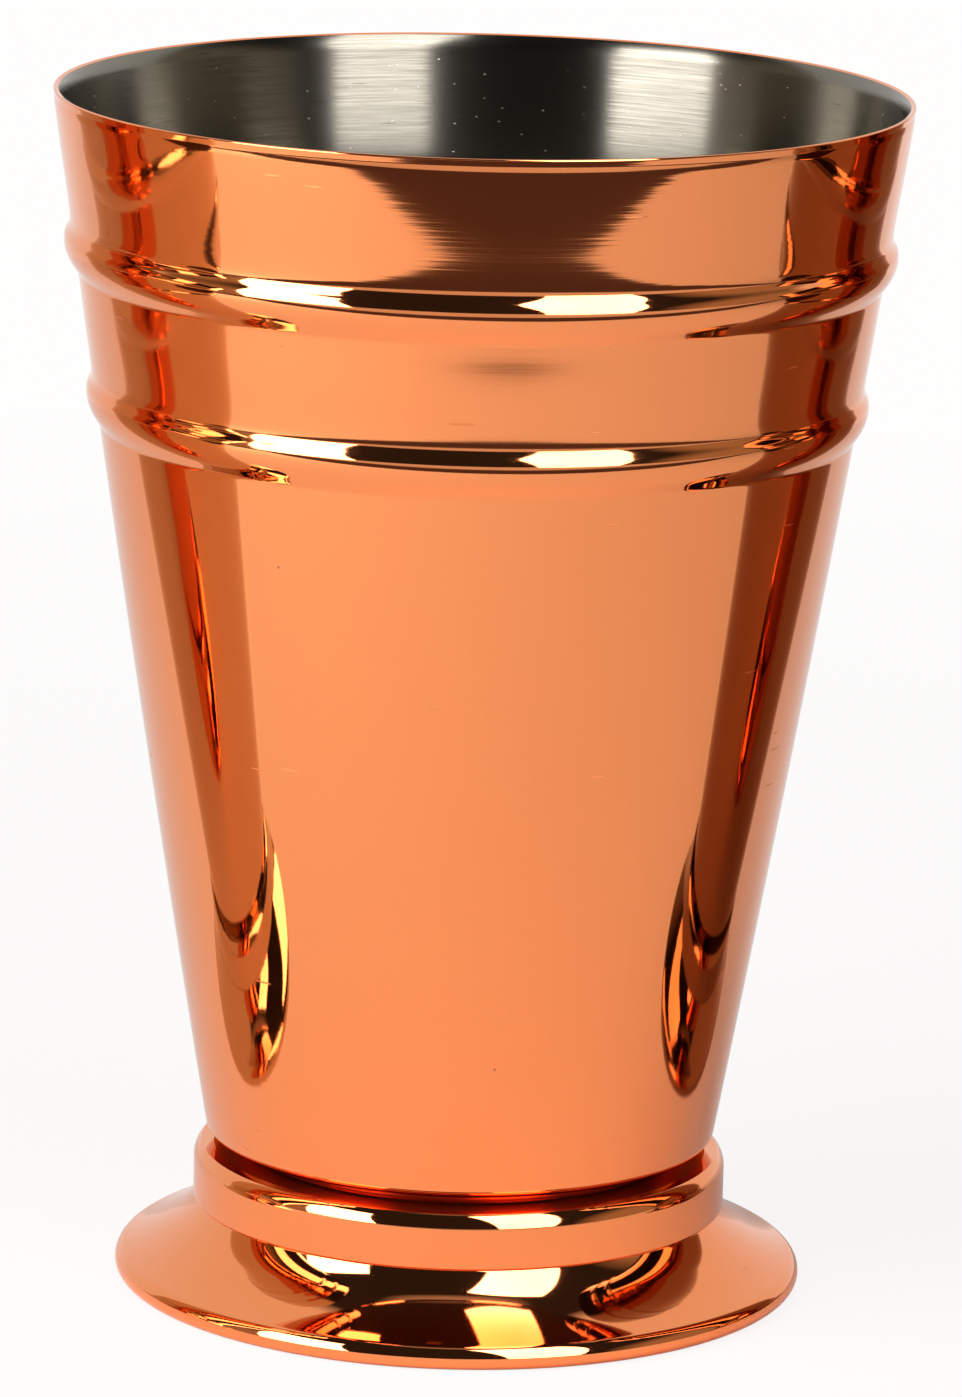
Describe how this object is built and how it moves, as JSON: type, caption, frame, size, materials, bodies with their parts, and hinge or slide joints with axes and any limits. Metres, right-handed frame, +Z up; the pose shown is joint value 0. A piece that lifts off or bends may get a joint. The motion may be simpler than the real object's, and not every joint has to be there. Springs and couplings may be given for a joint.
{
  "type": "footed julep cup",
  "caption": "Tall tapered metal drinking cup with two rolled beads below the rim, standing on a capped collar and a flared foot.",
  "frame": {"origin": "centre of the foot's resting ring, on the surface that the cup stands on", "axes": "+Z up along the cup's axis, towards the rim"},
  "size_m": [0.09, 0.09, 0.128],
  "materials": {
    "copper_plate": "stainless steel sheet, copper-plated and mirror polished outside; the inside of the cup is bare brushed steel"
  },
  "bodies": {
    "root": {"cup_shell": "copper_plate", "foot_collar": "copper_plate", "foot_skirt": "copper_plate"}
  },
  "joints": []
}
